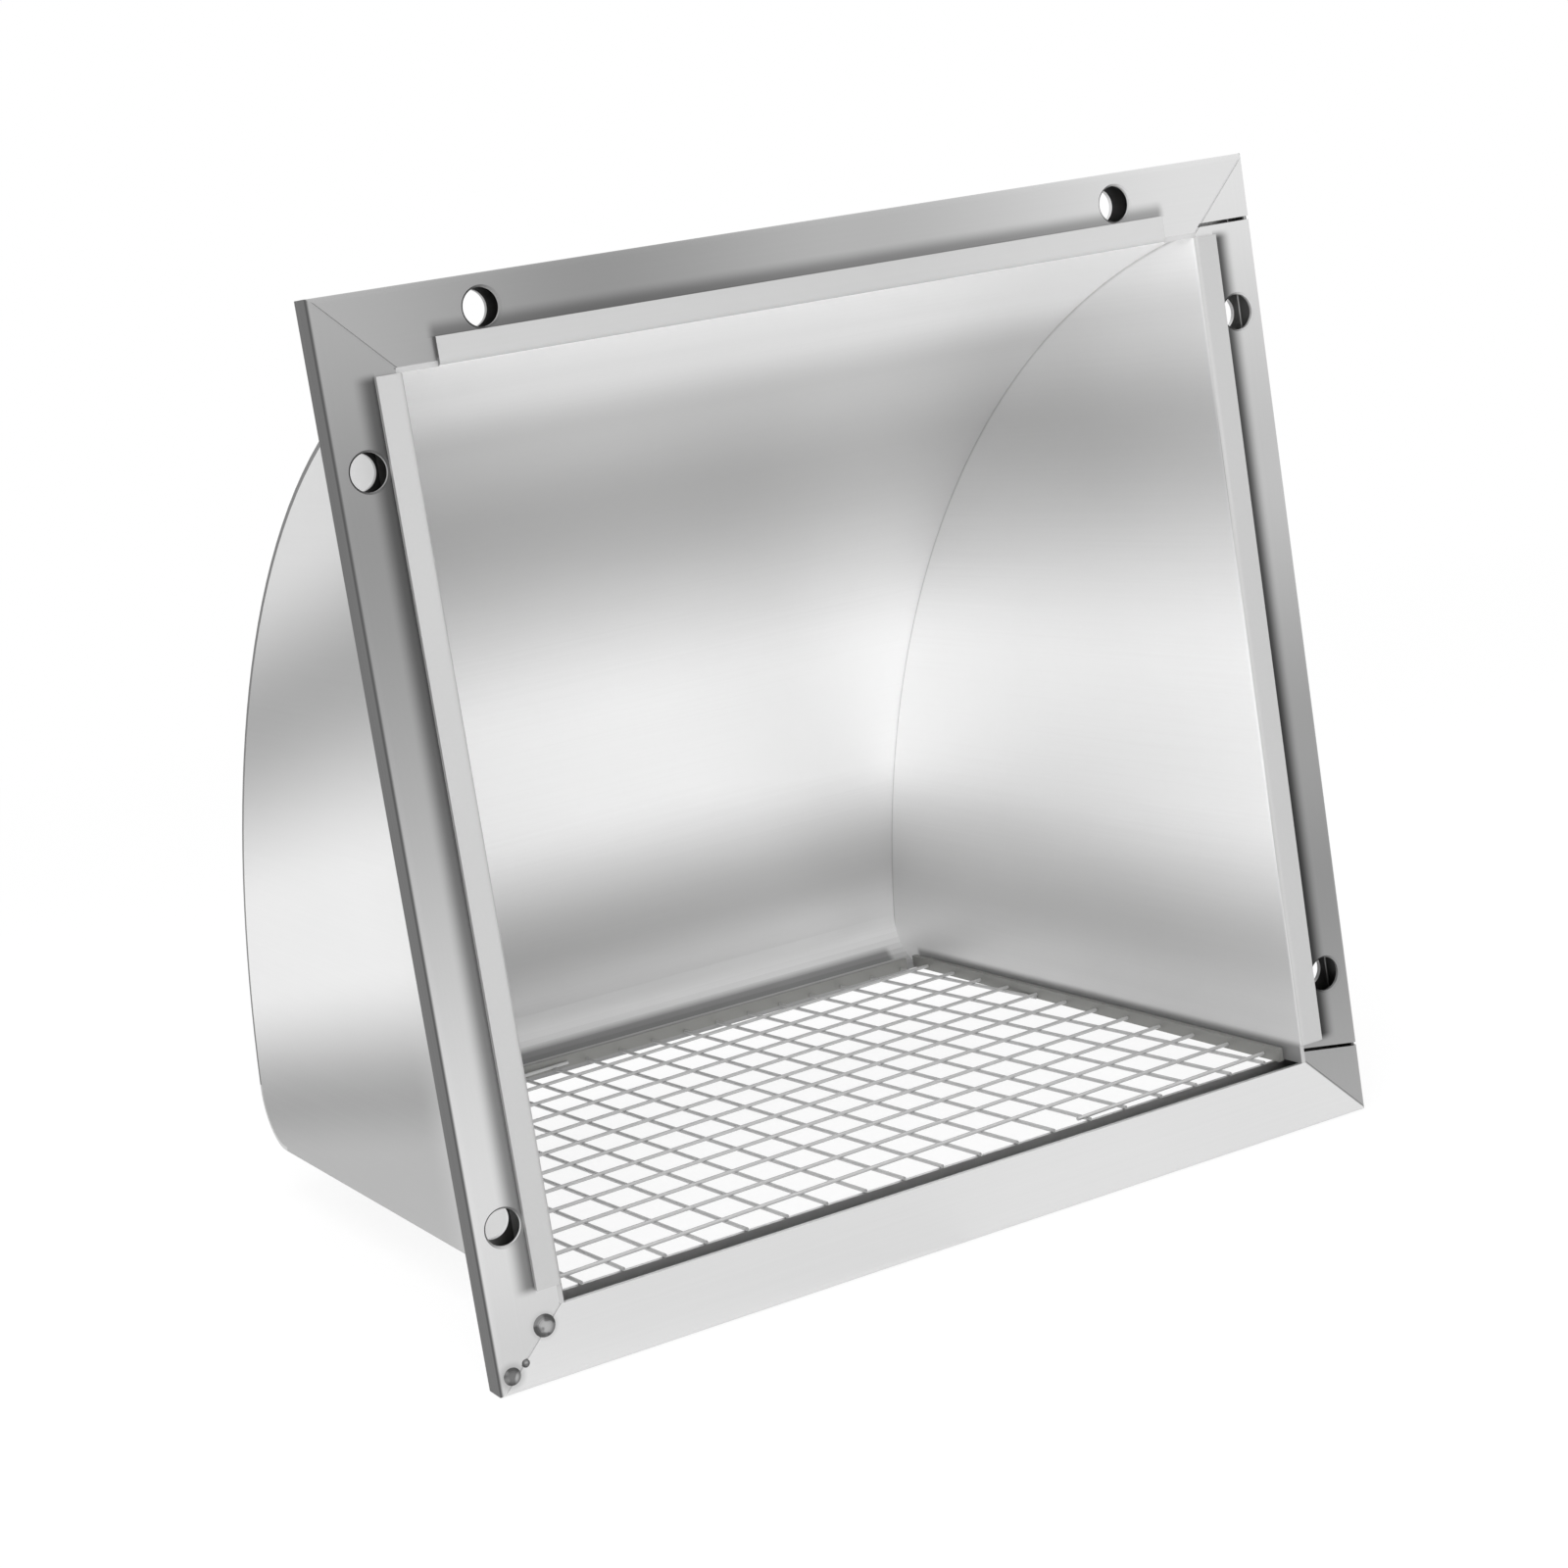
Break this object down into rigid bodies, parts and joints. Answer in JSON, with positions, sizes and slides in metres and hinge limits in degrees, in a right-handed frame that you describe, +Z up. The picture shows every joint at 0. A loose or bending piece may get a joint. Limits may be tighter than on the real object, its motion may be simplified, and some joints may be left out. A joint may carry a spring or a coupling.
{
  "type": "wall vent hood",
  "caption": "Square sheet-metal wall vent hood: mitred mounting frame, flat cheeks, rolled front and wire mesh across the open bottom.",
  "frame": {"origin": "centre of the square mounting frame, in the plane of its wall side", "axes": "+Y towards the wall and square to it, +Z up, +X to the right as seen from outside facing the hood"},
  "size_m": [0.2, 0.166, 0.2],
  "materials": {
    "frame": "fine brushed stainless steel, satin",
    "hood": "smooth satin stainless sheet",
    "mesh": "bright drawn steel wire",
    "strip": "matt rolled steel strip",
    "weld": "dull weld metal with heat tint"
  },
  "bodies": {
    "root": {"frame_top": "frame", "frame_bottom": "frame", "frame_left": "frame", "frame_right": "frame", "front_sheet": "hood", "cheek_left": "hood", "cheek_right": "hood", "mesh_screen": "mesh", "mesh_strip_front": "strip", "mesh_strip_left": "strip", "mesh_strip_right": "strip", "corner_tack_welds": "weld"}
  },
  "joints": []
}
